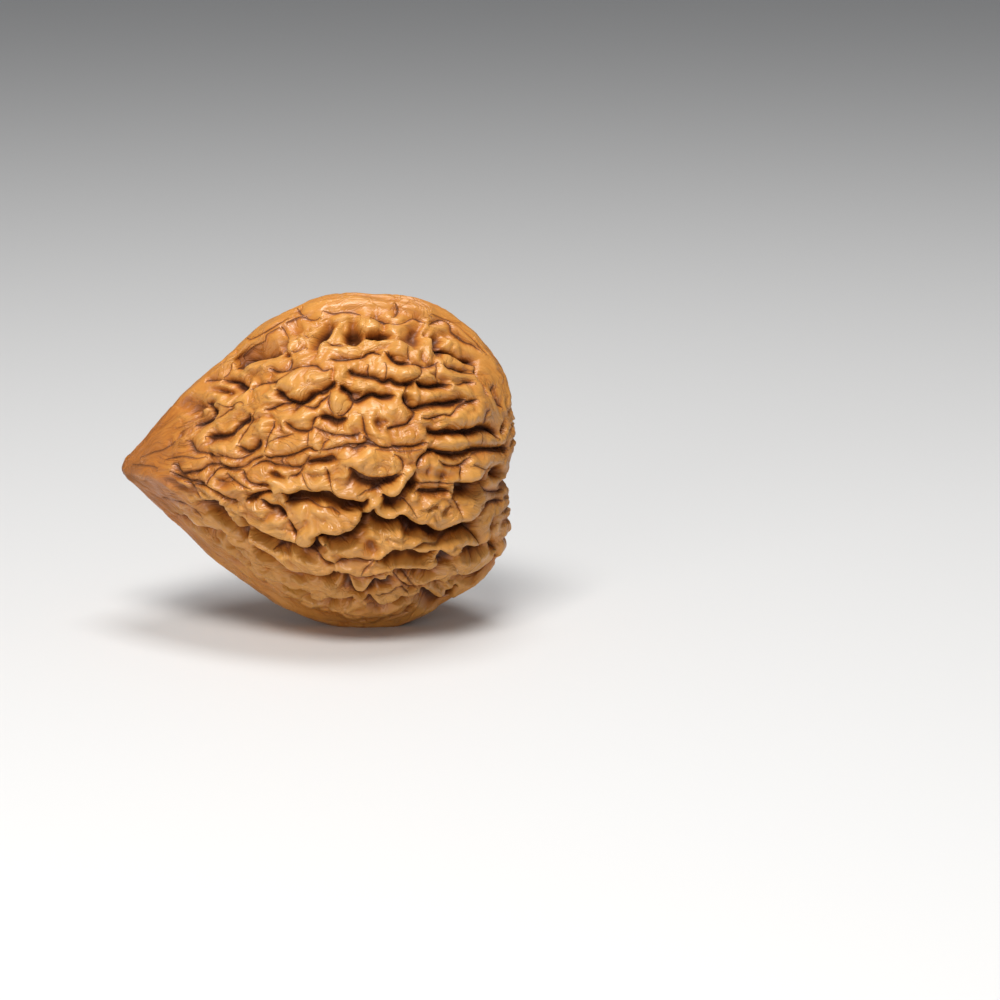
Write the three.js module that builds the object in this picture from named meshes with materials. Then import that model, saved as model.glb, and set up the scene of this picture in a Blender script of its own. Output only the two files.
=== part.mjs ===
// A whole walnut in its shell, standing on a small flat spot of its suture rim.
// Millimetres, +Z up. The tip points along -X and the stem end along +X.
// The two half shells bulge along -Y and +Y, and the rim where they meet lies in the plane y = 0.
// The origin is under the middle of the nut's box, on the surface it stands on.
import * as THREE from "three";

// Driving dimensions.
const RIM_HEIGHT = 40; // across the suture rim, along Z
const FOOT_DEPTH = 0.7; // how much the rim is flattened where the nut stands
const BELLY_DEPTH = 36; // across both half shells without their folds, along Y

// Suture outline: a belly circle, with tangents that run to the tip.
const BELLY_RADIUS = (RIM_HEIGHT + FOOT_DEPTH) / 2;
const TIP_REACH = 27.5; // from the nut's middle to where the tangents would meet
const BELLY_SHIFT = 1.4; // the belly circle sits this far behind the middle
const TIP_ROUNDING = 0.022; // radians of turn over which the point is blunted
const TIP_DROOP = 0.026; // radians by which the point hangs below the middle
const DROOP_SPREAD = 0.45; // radians
const STEM_FLATTENING = 2.6; // how far the rim draws in at the stem end
const STEM_SPREAD = 0.42; // radians
const SWELL = 0.3; // the outline is fuller before and behind the belly
const SWELL_BEARING = 0.47; // radians from the tip to the first swell
const SWELLS = 3.4; // per turn
const FLATS = [ // where the outline is drawn in or pushed out: bearing, spread, height
  [0.95, 0.22, -0.35],
  [1.4, 0.14, 0.3],
  [3.0, 0.16, 0.4],
  [-1.0, 0.26, -0.5],
  [-2.18, 0.22, -0.9],
];
const WAVERS = [ // slight unevenness of the outline: height, waves per turn, phase
  [0.1, 7, 0.6],
  [0.08, 12, 2.1],
];

// Rim flange and half shells.
const RIM_HALF_THICKNESS = 2.7;
const RIM_BLUNTNESS = 44; // a higher power gives a blunter edge
const SHELL_INSET = 1; // from the rim's edge in to the foot of the half shell
const SHELL_FULLNESS = 2.1; // power of the shell's plan, 2 is an ellipse
const BELLY_PROFILE = 0.64; // power of the shell's rise at the belly
const TIP_PROFILE = 0.85; // the same near the tip, where it is nearly a cone
const TIP_SPREAD = 0.75; // radians
const BLEND = 1.6; // soft join of shell and rim
const STEM_PIT_DEPTH = 1.6; // the hollow of the stem scar
const STEM_PIT_RADIUS = 3;

// Folds that run from the tip to the stem end.
const FOLD_HEIGHT = 1.7;
const FOLD_PAIRS = 11; // two ridges to a pair, around the tip-to-stem axis
const PAD_LENGTH = 8.5; // one raised pad along a ridge
const SMOOTH_TIP_LENGTH = 12; // the point carries no folds

const CUTS = 26; // squares along each edge of the cube that the mesh starts from
const RIM_CROWDING = 1.3; // above 1 draws the squares together at the rim
const SOLVE_STEPS = 40;
const { smoothstep } = THREE.MathUtils;

// Radius of the suture outline. Bearing runs from the tip, 0, over the top to the stem end and back below.
function outlineRadius(bearing) {
  const turn = Math.abs(bearing + TIP_DROOP * Math.exp(-((bearing / DROOP_SPREAD) ** 2)));
  const tipAngle = Math.asin(BELLY_RADIUS / (TIP_REACH + BELLY_SHIFT));
  const touch = Math.PI / 2 - tipAngle; // where the tangent meets the circle
  const tangent = (TIP_REACH * Math.sin(tipAngle)) / Math.sin(Math.hypot(turn, TIP_ROUNDING) + tipAngle);
  const across = BELLY_SHIFT * Math.sin(turn);
  const circle = Math.sqrt(BELLY_RADIUS ** 2 - across ** 2) - BELLY_SHIFT * Math.cos(turn);
  const drawnIn = STEM_FLATTENING * Math.exp(-(((Math.PI - turn) / STEM_SPREAD) ** 2));
  const swell = SWELL * Math.cos(SWELLS * (turn - SWELL_BEARING));
  const flats = FLATS.reduce((sum, [at, spread, height]) => {
    const apart = Math.atan2(Math.sin(bearing - at), Math.cos(bearing - at));
    return sum + height * Math.exp(-((apart / spread) ** 2));
  }, 0);
  const waver = WAVERS.reduce((sum, [height, waves, phase]) => sum + height * Math.sin(waves * bearing + phase), 0);
  return (turn < touch ? tangent : circle) - drawnIn + swell + flats + waver * smoothstep(turn, 0, touch);
}

function softMax(a, b, width) {
  const overlap = Math.max(width - Math.abs(a - b), 0) / width;
  return Math.max(a, b) + (overlap * overlap * width) / 4;
}

// Half the nut's thickness above the suture plane, at a distance from the middle on a bearing.
function halfThickness(distance, bearing) {
  const edge = outlineRadius(bearing);
  const turn = Math.abs(bearing);
  const tipShare = Math.exp(-((turn / TIP_SPREAD) ** 2));
  const stemShare = Math.exp(-(((Math.PI - turn) / STEM_SPREAD) ** 2));
  const inset = SHELL_INSET * (1 - 0.6 * tipShare) * (1 - 1.2 * stemShare);
  const profile = BELLY_PROFILE + (TIP_PROFILE - BELLY_PROFILE) * tipShare;
  const plan = Math.max(1 - (distance / (edge - inset)) ** SHELL_FULLNESS, 0);
  const shell = (BELLY_DEPTH / 2) * plan ** profile;
  const edgeFall = Math.max(1 - (distance / edge) ** RIM_BLUNTNESS, 0);
  const rim = RIM_HALF_THICKNESS * (1 - 0.75 * tipShare) * Math.sqrt(edgeFall);
  return softMax(shell, rim, BLEND);
}

// Distance from the middle to the smooth surface, along a direction.
function smoothRadius(direction) {
  const flat = Math.hypot(direction.x, direction.z);
  const bearing = Math.atan2(direction.z, -direction.x);
  const rise = Math.abs(direction.y);
  const edge = outlineRadius(bearing);
  let inside = 0;
  let outside = TIP_REACH;
  for (let step = 0; step < SOLVE_STEPS; step++) {
    const reach = (inside + outside) / 2;
    const within = reach * flat < edge && reach * rise < halfThickness(reach * flat, bearing);
    if (within) inside = reach;
    else outside = reach;
  }
  return inside;
}

// Height of the folds at a point of the smooth surface: round ridges with sharp valleys, broken into pads.
function foldHeight(point) {
  const around = Math.atan2(point.z, point.y);
  const sway = 0.9 * Math.sin(point.x * 0.31 + 2 * around) + 0.5 * Math.sin(point.x * 0.67 - 3 * around);
  const ridge = Math.abs(Math.sin(FOLD_PAIRS * around + sway)) ** 0.9;
  const stagger = 2.4 * Math.sin(3 * around + 1) + 1.7 * Math.sin(7 * around);
  const pad = Math.abs(Math.sin((Math.PI / PAD_LENGTH) * (point.x + stagger))) ** 0.8;
  const onShell = smoothstep(Math.abs(point.y), RIM_HALF_THICKNESS, RIM_HALF_THICKNESS + 3.5);
  const offTip = smoothstep(point.x + TIP_REACH, 4, SMOOTH_TIP_LENGTH);
  const offAxis = smoothstep(Math.hypot(point.y, point.z), 4, 12);
  return FOLD_HEIGHT * (ridge * (0.6 + 0.4 * pad) - 0.75) * onShell * offTip * offAxis;
}

function stemPit(point) {
  const offAxis = Math.hypot(point.y, point.z) / STEM_PIT_RADIUS;
  return point.x > 0 ? STEM_PIT_DEPTH * Math.exp(-offAxis * offAxis) : 0;
}

// A cube's surface point as a direction: even steps of angle, drawn together at the rim's plane.
function towards(cubePoint) {
  const even = (share) => Math.tan((Math.PI / 4) * share);
  const crowded = Math.sign(cubePoint.y) * Math.abs(cubePoint.y) ** RIM_CROWDING;
  return new THREE.Vector3(even(cubePoint.x), even(crowded), even(cubePoint.z)).normalize();
}

function walnut() {
  const geometry = new THREE.BoxGeometry(2, 2, 2, CUTS, CUTS, CUTS);
  const places = geometry.getAttribute("position");
  const point = new THREE.Vector3();
  for (let i = 0; i < places.count; i++) {
    const direction = towards(point.fromBufferAttribute(places, i));
    point.copy(direction).multiplyScalar(smoothRadius(direction));
    point.addScaledVector(direction, foldHeight(point) - stemPit(point));
    point.z = Math.max(point.z, FOOT_DEPTH - BELLY_RADIUS); // the flat spot
    places.setXYZ(i, point.x, point.y, point.z);
  }
  geometry.computeBoundingBox();
  const { min, max } = geometry.boundingBox;
  geometry.translate(-(min.x + max.x) / 2, -(min.y + max.y) / 2, -min.z);
  geometry.computeVertexNormals();
  const shell = new THREE.MeshStandardMaterial({ color: 0xc08a4a, roughness: 0.45, metalness: 0 });
  const mesh = new THREE.Mesh(geometry, shell);
  mesh.name = "walnut";
  return mesh;
}

const part = new THREE.Group();
part.add(walnut());
export default part;
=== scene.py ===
import math
import bmesh
import bpy
import numpy as np
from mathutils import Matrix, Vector, noise


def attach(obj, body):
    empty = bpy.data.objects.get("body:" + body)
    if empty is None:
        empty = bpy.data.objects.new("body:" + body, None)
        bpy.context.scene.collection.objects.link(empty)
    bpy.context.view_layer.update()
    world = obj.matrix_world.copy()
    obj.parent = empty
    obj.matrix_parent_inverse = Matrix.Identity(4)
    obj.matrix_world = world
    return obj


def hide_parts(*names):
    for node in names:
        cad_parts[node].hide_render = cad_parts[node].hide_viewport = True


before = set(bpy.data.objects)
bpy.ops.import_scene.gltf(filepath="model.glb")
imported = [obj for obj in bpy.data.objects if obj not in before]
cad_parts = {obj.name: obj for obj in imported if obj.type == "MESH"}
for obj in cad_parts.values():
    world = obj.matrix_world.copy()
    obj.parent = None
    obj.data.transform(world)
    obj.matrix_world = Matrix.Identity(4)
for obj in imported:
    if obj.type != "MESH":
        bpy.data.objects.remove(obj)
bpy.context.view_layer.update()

mm = 0.001  # lengths below are in millimetres

# The nut lies on its rim: tip towards -X, stem end towards +X, half shells towards -Y and +Y.
blank = {
    "rimHeight": 40, "footDepth": 0.7, "bellyDepth": 36,
    "tipReach": 27.5, "bellyShift": 1.4, "tipRounding": 0.022, "tipDroop": 0.026, "droopSpread": 0.45,
    "stemFlattening": 2.6, "stemSpread": 0.42,
    "swell": 0.3, "swellBearing": 0.47, "swells": 3.4,
    "flats": [(0.95, 0.22, -0.35), (1.4, 0.14, 0.3), (3.0, 0.16, 0.4),
              (-1.0, 0.26, -0.5), (-2.18, 0.22, -0.9)],  # bearing, spread, height
    "wavers": [(0.1, 7, 0.6), (0.08, 12, 2.1)],  # height, waves per turn, phase
    "rimHalfThickness": 2.7, "rimBluntness": 44,
    "shellInset": 1.0, "shellFullness": 2.1,
    "insetLostAtTip": 0.6, "insetLostAtStem": 1.2, "rimLostAtTip": 0.75,  # shares
    "bellyProfile": 0.64, "tipProfile": 0.85, "tipSpread": 0.75, "blend": 1.6,
    "cuts": 127, "rimCrowding": 1.3, "solveSteps": 34, "search": (0.5, 40), "justInside": 0.9999,
}
bellyRadius = (blank["rimHeight"] + blank["footDepth"]) / 2


def smoothStep(value, low, high):
    share = np.clip((value - low) / (high - low), 0, 1)
    return share * share * (3 - 2 * share)


def outlineRadius(bearing):  # 0 at the tip, over the top to pi at the stem end
    turn = np.abs(bearing + blank["tipDroop"] * np.exp(-((bearing / blank["droopSpread"]) ** 2)))
    tipAngle = math.asin(bellyRadius / (blank["tipReach"] + blank["bellyShift"]))
    touch = math.pi / 2 - tipAngle
    tangent = blank["tipReach"] * math.sin(tipAngle) / np.sin(np.hypot(turn, blank["tipRounding"]) + tipAngle)
    across = blank["bellyShift"] * np.sin(turn)
    circle = np.sqrt(bellyRadius ** 2 - across ** 2) - blank["bellyShift"] * np.cos(turn)
    drawnIn = blank["stemFlattening"] * np.exp(-(((math.pi - turn) / blank["stemSpread"]) ** 2))
    swell = blank["swell"] * np.cos(blank["swells"] * (turn - blank["swellBearing"]))
    flats = sum(height * np.exp(-((np.arctan2(np.sin(bearing - at), np.cos(bearing - at)) / spread) ** 2))
                for at, spread, height in blank["flats"])
    waver = sum(height * np.sin(waves * bearing + phase) for height, waves, phase in blank["wavers"])
    outline = np.where(turn < touch, tangent, circle) - drawnIn + swell + flats
    return outline + waver * smoothStep(turn, 0, touch)


def halfThickness(distance, bearing):
    edge = outlineRadius(bearing)
    turn = np.abs(bearing)
    tipShare = np.exp(-((turn / blank["tipSpread"]) ** 2))
    stemShare = np.exp(-(((math.pi - turn) / blank["stemSpread"]) ** 2))
    inset = blank["shellInset"] * (1 - blank["insetLostAtTip"] * tipShare)
    inset = inset * (1 - blank["insetLostAtStem"] * stemShare)
    profile = blank["bellyProfile"] + (blank["tipProfile"] - blank["bellyProfile"]) * tipShare
    plan = np.maximum(1 - (distance / (edge - inset)) ** blank["shellFullness"], 0)
    shell = blank["bellyDepth"] / 2 * plan ** profile
    edgeFall = np.maximum(1 - (distance / edge) ** blank["rimBluntness"], 0)
    rim = blank["rimHalfThickness"] * (1 - blank["rimLostAtTip"] * tipShare) * np.sqrt(edgeFall)
    overlap = np.maximum(blank["blend"] - np.abs(shell - rim), 0) / blank["blend"]
    return np.maximum(shell, rim) + overlap ** 2 * blank["blend"] / 4


def insideBlank(points):  # points from the nut's middle
    distance = np.hypot(points[..., 0], points[..., 2])
    bearing = np.arctan2(points[..., 2], -points[..., 0])
    edge = outlineRadius(bearing)
    thick = halfThickness(np.minimum(distance, edge * blank["justInside"]), bearing)
    return (distance < edge) & (np.abs(points[..., 1]) < thick)


def meetBlank(inner, outer):  # last point inside the blank on each line from inner to outer
    low, high = np.zeros(len(inner)), np.ones(len(inner))
    for _ in range(blank["solveSteps"]):
        half = (low + high) / 2
        inside = insideBlank(inner + (outer - inner) * half[:, None])
        low = np.where(inside, half, low)
        high = np.where(inside, high, half)
    return inner + (outer - inner) * low[:, None]


# The camera, told from the nut's middle.
eye = {"elevation": 12, "distance": 487, "lens": 147.6, "sensor": 36, "left": 17.83, "drop": -4.51,
       "boardDrop": 0.36, "behindBoard": 0.004, "beforeBoard": 0.06}  # last two: shares of the distance
middle = np.array([0, 0, bellyRadius - blank["footDepth"]])
tilt = math.radians(eye["elevation"])
boardRight = np.array([1, 0, 0])
boardUp = np.array([0, math.sin(tilt), math.cos(tilt)])
towardsEye = np.array([0, -math.cos(tilt), math.sin(tilt)])

# Folds are drawn on a board through the nut's middle that faces the eye: right, up.
# depth, reach above the line, reach below it, lean of the upper side over the lower,
# slope under a ledge, swell of the upper side, half width of the dark line
foldKinds = {
    "hair": {"depth": 0.4, "above": 0.2, "below": 0.2, "slope": 0, "lean": 0, "swell": 0, "line": 0.06},
    "seam": {"depth": 1.15, "above": 0.4, "below": 0.3, "slope": 0, "lean": 0.25, "swell": 0, "line": 0.09},
    "gap": {"depth": 2.1, "above": 0.55, "below": 0.4, "slope": 0, "lean": 0.25, "swell": 0.15, "line": 0.15},
    "lip": {"depth": 2.2, "above": 0.24, "below": 0.4, "slope": 2.6, "lean": 0.3, "swell": 0.6, "line": 0.12},
    "wall": {"depth": 2.4, "above": 1.3, "below": 0.35, "slope": 0, "lean": 0, "swell": 0, "line": 0.1},
}
folds = [
    # upper half
    ("wall", 1.0, [(-13.9, 11.0), (-12.6, 11.8), (-11.3, 12.3), (-10, 12.7), (-8.9, 12.8), (-8.2, 13.6),
        (-7.5, 14)]),
    ("hair", 1.0, [(-7.7, 16.2), (-6.3, 16.8), (-5.6, 16.9), (-4.8, 16.65), (-4, 16.7), (-3.6, 16.9)]),
    ("seam", 0.7, [(-5.6, 14.9), (-5, 14.7), (-4.6, 15)]),
    ("seam", 1.0, [(-2.9, 14.1), (-2, 13.9), (-1, 13.85), (-0.3, 13.8)]),
    ("hair", 1.0, [(-6.2, 17.9), (-5.8, 17.2), (-5, 16.9)]),
    ("hair", 1.2, [(-3.3, 17.6), (-2, 17.4), (-1, 17.5), (0.3, 17.5), (1.4, 17.2)]),
    ("seam", 1.0, [(-2.5, 12.1), (-1, 12.05), (0.6, 12.2), (1.6, 12.4), (2.1, 12.9), (3, 13),
        (3.9, 12.5)]),
    ("seam", 0.8, [(-7.8, 10.8), (-6, 11.1), (-4.5, 11.3), (-3.8, 11), (-3.2, 10.6), (-2.2, 10.9)]),
    ("gap", 1.0, [(-8.8, 8.4), (-7.9, 7.6), (-6.4, 6.9), (-5.3, 7.3), (-4.5, 8), (-3.6, 8.3),
        (-2.6, 8.8), (-1.8, 9.4)]),
    ("seam", 0.8, [(-9.8, 11), (-9, 10.75), (-8, 10.8), (-7.5, 11.2), (-7.1, 12.1)]),
    ("seam", 0.8, [(-7.2, 12.9), (-6.3, 13.1), (-5.8, 13.5), (-5.2, 13.4)]),
    ("seam", 0.6, [(-10.2, 9.4), (-9.5, 9.35), (-8.6, 9.7), (-7.9, 10.1), (-7, 10.6)]),
    ("seam", 0.8, [(-12.2, 8.3), (-11.2, 9), (-10.6, 9.1), (-9.8, 9.2), (-9, 9.3), (-8.7, 8.8)]),
    ("seam", 0.9, [(-10.2, 5.9), (-9.3, 6.2), (-8.2, 6.7), (-6.9, 6.9)]),
    ("gap", 1.0, [(-0.1, 10.8), (0.4, 10.4), (1.2, 10.2), (2.2, 10.1), (3.2, 9.9), (4, 9.5), (5, 9.7),
        (5.8, 9.2), (7, 9.1), (8, 9.3)]),
    ("seam", 0.8, [(2.3, 11.4), (2.2, 10.9), (2.3, 10.2)]),
    ("hair", 1.0, [(4.3, 11.6), (4.4, 10.8), (4.2, 9.7)]),
    ("gap", 1.2, [(-1.1, 8.9), (-0.6, 8.4), (0, 8), (0.2, 7.5), (0.5, 7), (1.2, 7.2), (2, 7.7),
        (2.8, 7.9), (3.6, 7.6), (4.6, 7.6), (5.5, 7.7)]),
    ("seam", 0.9, [(0.4, 7), (0.3, 6.4), (-0.1, 5.8), (-0.8, 5.4), (-1.5, 5.4)]),
    ("seam", 0.9, [(-2.3, 8.2), (-2.6, 7.2), (-2.4, 6.3), (-1.8, 5.6)]),
    ("seam", 1.0, [(-5.8, 6.5), (-4.7, 6.3), (-4, 6.5), (-3.7, 7), (-3, 7.5), (-2.5, 7.8)]),
    ("seam", 0.7, [(9.4, 16.1), (10.5, 16.5), (11.5, 16.5), (12.1, 15.9), (12.2, 15.2), (13.2, 14.4),
        (13.9, 13.9), (14.8, 13.6), (15.8, 12.9)]),
    ("gap", 1.0, [(10.3, 12.9), (11.5, 13.2), (12.4, 13), (13.2, 12.6), (13.5, 12.3), (14.2, 12),
        (14.9, 11.7), (15.4, 11.2)]),
    ("gap", 0.9, [(4.7, 13), (5.1, 12.4), (5.7, 11.9), (6.4, 11.7), (7.2, 11.8)]),
    ("hair", 1.2, [(6.9, 13.5), (7, 12.6), (7.2, 11.9)]),
    ("seam", 0.7, [(4.2, 13), (5, 12.3), (5.8, 11.6), (6.8, 11.5), (8, 11.4), (9, 11.1), (10, 11.3),
        (10.8, 11.7)]),
    ("seam", 0.8, [(8.6, 11.3), (8.8, 10.6), (8.5, 10), (8, 9.6), (7.5, 9.2), (7, 8.5), (6.6, 7.9)]),
    ("gap", 1.1, [(8.3, 9.3), (8.9, 8.9), (10, 8.8), (10.8, 9), (11.5, 9.1), (12.2, 9.1)]),
    ("seam", 0.8, [(11.2, 11.5), (11.9, 11), (12.4, 11), (13.3, 10.8), (14.2, 10.5), (15.2, 10.3)]),
    ("seam", 0.7, [(10.6, 11.4), (10.5, 10.6), (10.6, 9.9), (10.9, 9.4), (11.6, 9.1)]),
    ("seam", 0.8, [(12.4, 9.1), (13.2, 9.05), (14, 9.3), (15, 9.2)]),
    ("gap", 1.0, [(6.6, 7.9), (6.9, 7.1), (7.3, 6.4), (8, 6.1), (8.9, 6.4), (10, 6.7), (11, 6.8),
        (12.3, 6.8), (13.2, 7.1), (14.2, 7.3)]),
    ("seam", 0.9, [(15.3, 11.4), (15.4, 10.5), (15.6, 9.7), (16, 9.1), (16.3, 8.4), (16.6, 7.5)]),
    ("seam", 0.8, [(17.3, 8.8), (17.4, 7.8), (17.8, 6.9), (18.3, 6.2)]),
    ("hair", 1.2, [(-17.4, 10), (-16.4, 11), (-14.8, 12.4), (-12.6, 14), (-10, 15.2), (-8.3, 16.3),
        (-7.4, 16.9)]),
    ("hair", 1.0, [(-13.2, 12.2), (-11.7, 13.3), (-10.2, 14.1), (-9.9, 14.8), (-8.3, 15.7)]),
    ("seam", 0.6, [(-8.2, 15.9), (-7.8, 15.2), (-7.4, 14.4)]),
    ("hair", 1.2, [(5.4, 18.6), (5.7, 17.7), (5.2, 16.8)]),
    ("seam", 0.6, [(2.4, 17), (3.6, 16.8), (5.6, 16.2), (6.6, 16.5), (7.6, 16.9), (9, 16.4)]),
    ("hair", 1.2, [(9.6, 17.4), (11.4, 16.9), (12.8, 16.2), (14.1, 15), (15.4, 13.8), (16.4, 12.5)]),
    # middle left
    ("gap", 0.8, [(-18.7, 4.2), (-17.8, 4.6), (-17, 5), (-16.7, 5.5), (-16.8, 6.2), (-17.3, 6.8)]),
    ("gap", 1.0, [(-17.3, 2.9), (-16.2, 3), (-15.2, 3.05), (-14.5, 3.3), (-14.2, 3.8), (-13.6, 4.4),
        (-12.8, 4.9), (-12.2, 5.6)]),
    ("seam", 0.8, [(-19.2, 2.4), (-19, 1.8), (-18.5, 1.1), (-17.8, 1), (-16.9, 0.9), (-16.2, 0.7),
        (-15.5, 0.7)]),
    ("seam", 0.8, [(-15.9, 1.1), (-15.4, 0.7), (-14.4, 0.5), (-13.8, 0.4), (-13.2, 0.45), (-12.5, 0.8),
        (-11.9, 1.2)]),
    ("seam", 1.0, [(-15.5, -0.2), (-15, -0.6), (-14.2, -0.75), (-13.2, -0.7), (-12.5, -0.4), (-12, 0.1),
        (-11.2, 0.4), (-10.4, 0.6)]),
    ("seam", 1.1, [(-21, -0.4), (-20.5, -0.9), (-20.1, -1.3), (-19.2, -1.15), (-18.3, -1),
        (-17.7, -0.7), (-17.1, -0.3), (-16.4, -0.3), (-15.4, -0.25)]),
    ("seam", 1.0, [(-21.4, -1.4), (-20.7, -1.9), (-20, -2.1), (-19.4, -2.25), (-18.6, -2.2),
        (-18.1, -2.4), (-17.5, -2.6)]),
    ("seam", 1.0, [(-17.4, -3), (-17.1, -2.1), (-16.5, -1.4), (-15.9, -0.95), (-15.2, -0.9),
        (-14.5, -1.1), (-13.6, -1.1), (-12.9, -1.2)]),
    ("seam", 1.0, [(-12.9, -1), (-12.8, -1.7), (-12.3, -2.4), (-11.6, -2.8), (-10.8, -2.9)]),
    ("seam", 0.9, [(-14.8, -1.5), (-14.5, -2.1), (-13.9, -2.6), (-13.2, -3), (-12.6, -3.3),
        (-11.9, -3.5)]),
    ("seam", 0.9, [(-19.9, -2.5), (-19.2, -3.1), (-18.7, -3.9), (-18.3, -4.6), (-17.7, -4.9)]),
    ("seam", 0.9, [(-18.9, -2.8), (-18, -3), (-17.4, -3.2), (-16.8, -3.5), (-16.2, -4), (-15.5, -4.5),
        (-14.8, -4.9), (-14.2, -5.2), (-13.5, -5.1)]),
    ("lip", 1.2, [(-18.2, -5.4), (-17.2, -5.15), (-16.1, -5.15), (-15.5, -5.7), (-15, -6.3),
        (-14.3, -7.1), (-13.3, -8.2), (-12.6, -8.6), (-12.3, -9.2), (-11.8, -10)]),
    ("gap", 0.8, [(-13.4, 1.9), (-13, 1.4), (-12.2, 1.3), (-11.5, 1.8), (-11.1, 2.6)]),
    ("seam", 0.8, [(-13.4, 2), (-13.3, 2.9), (-12.7, 3.6), (-12.3, 4.3), (-11.8, 5.3), (-11.3, 5.9)]),
    ("seam", 0.8, [(-10.3, 1), (-10.2, 2.1), (-9.8, 3), (-9.4, 3.8), (-9.2, 4.6)]),
    ("seam", 0.6, [(-9.9, 2), (-9.4, 2.3), (-8.6, 2.7), (-7.6, 2.9), (-6.7, 3.1)]),
    ("seam", 1.0, [(-7.7, 4.6), (-7.2, 4), (-6.6, 3.6), (-6, 3.5), (-5.2, 3.5), (-4.8, 3.8),
        (-4.6, 4.4), (-4.3, 5), (-3.5, 5.3)]),
    ("gap", 1.0, [(-3.8, 5.1), (-2.9, 5.2), (-2.3, 4.9), (-1.7, 4.65), (-1.1, 4.7), (-0.2, 4.9)]),
    ("hair", 1.3, [(-5.1, 3.3), (-5.1, 2.6), (-5.1, 1.9)]),
    ("seam", 1.1, [(-10.3, 0.7), (-9.8, 0.4), (-9, 0.45), (-7.8, 0.55), (-6.7, 0.8), (-5.9, 1.15),
        (-5.2, 1.5), (-4.8, 1.5), (-4.3, 1.2), (-3.7, 1.2)]),
    ("seam", 0.9, [(-3.7, 1.2), (-3.4, 1.5), (-3.3, 2), (-3, 2.4), (-2.4, 2.6)]),
    ("seam", 0.9, [(-3.7, 1.2), (-2.8, 1.3), (-1.8, 1.5), (-1, 1.55), (-0.2, 1.6), (0.5, 1.3),
        (1.2, 1.6), (2, 1.5)]),
    ("seam", 1.0, [(-0.8, 1.95), (0.4, 1.95), (1.3, 1.9), (2.4, 1.9), (3.1, 1.7), (3.8, 1.45), (5, 1.4),
        (6.5, 1.5), (7.5, 1.55), (8.3, 1.8), (9.5, 2.15)]),
    ("seam", 0.9, [(1.7, 3), (2.4, 2.4), (3.1, 2.05), (3.8, 1.5)]),
    ("seam", 0.9, [(-4.4, 4), (-3.6, 3.6), (-2.8, 3.35), (-2.1, 3.1), (-1, 3), (0, 3), (0.8, 3.1),
        (1.3, 3.4)]),
    ("hair", 1.0, [(3, 1.2), (4.2, 1.1), (5.6, 1.05), (7, 1.05), (8.1, 1.15), (8.9, 1.4)]),
    ("seam", 0.8, [(1.6, 5.2), (1.8, 4.2), (2, 3.3), (2.6, 2.6)]),
    ("seam", 1.0, [(6.5, 6.9), (7.5, 6.3), (8, 5.7), (7.9, 5.1), (7.4, 4.6), (6.8, 4.1), (5.6, 3.8),
        (4.4, 3.7)]),
    ("seam", 0.9, [(8.7, 4.9), (9.5, 4.8), (10.2, 5), (10.8, 5.3), (11.6, 5.4), (12.2, 5.3),
        (12.8, 5.8), (13.3, 6.3), (14.2, 6.8), (15.4, 7.2)]),
    ("gap", 1.2, [(9.4, 3.7), (10, 3.3), (11, 3.2), (12, 3.3), (13, 3.2), (14, 3.25), (15, 3.4),
        (15.8, 3.7), (16.6, 3.8), (17.4, 3.7), (18, 3.3), (18.3, 2.6)]),
    ("hair", 1.8, [(16.7, 5.9), (16.4, 5.2), (16.6, 4.4), (16.3, 3.9)]),
    ("hair", 1.6, [(16.4, 3.4), (16.3, 2.6), (16.2, 1.9)]),
    ("gap", 1.0, [(9.3, 1.2), (10.2, 1.1), (11, 0.8), (12, 0.7), (13, 0.7), (14, 0.85), (15, 1.15),
        (16, 1.3), (17.5, 1.3), (19.2, 1.3)]),
    ("seam", 0.8, [(14.6, 0.4), (15.4, 0.7), (16.4, 0.95), (17.6, 0.9), (18.8, 0.8)]),
    ("seam", 0.9, [(10.8, -0.1), (11.5, -0.6), (12.2, -0.8), (13, -0.8), (13.6, -0.7), (14.1, -0.2),
        (14.8, 0.35)]),
    ("seam", 0.9, [(13.7, -0.8), (13.6, -1.5), (13.5, -2.1), (13.3, -2.6)]),
    ("hair", 1.2, [(14.6, -0.5), (15.3, -0.8), (16, -1), (16.6, -1)]),
    ("seam", 1.1, [(8.1, -1.3), (8.3, -0.4), (8.8, 0.3), (9.6, 0.75), (10.5, 0.9)]),
    ("seam", 0.8, [(5.2, 0.7), (6.1, 0.1), (6.3, -0.7), (6, -1.3)]),
    ("lip", 0.9, [(0, -0.9), (0.7, -1.3), (1.3, -1.7), (2.2, -2.1), (3.5, -2.2), (4.7, -2), (5.6, -1.5)]),
    ("hair", 1.4, [(0.4, -1.6), (1.2, -2.2), (2.2, -2.6), (3.2, -2.6)]),
    ("seam", 0.9, [(0.9, -3.9), (2.3, -3.7), (3.2, -3.3), (4.3, -2.7), (5.3, -2.2), (6.3, -1.5)]),
    ("gap", 1.0, [(-5.4, -0.5), (-4.7, -0.3), (-4, -0.15), (-3, 0), (-2.2, 0.2), (-1.6, -0.1)]),
    ("seam", 1.0, [(-11.9, -0.9), (-11.4, -0.5), (-10.6, -0.2), (-9.8, -0.3), (-9.3, -0.6),
        (-8.6, -0.7), (-7, -0.8), (-6.2, -0.8), (-5.6, -0.6), (-5.3, 0), (-4.9, 0.7)]),
    ("hair", 1.4, [(-8.1, 0.4), (-8.3, -0.1), (-8, -0.6)]),
    ("seam", 1.0, [(-7.4, -1.9), (-6.6, -1.8), (-6, -1.3), (-5.6, -0.8)]),
    ("seam", 0.8, [(-5.9, -1.6), (-5.4, -2.4), (-4.8, -3.1), (-4, -3.6)]),
    ("seam", 0.9, [(-2.8, -1), (-2.4, -2.2), (-2.1, -3), (-1.7, -3.6), (-1.2, -4.2)]),
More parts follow.
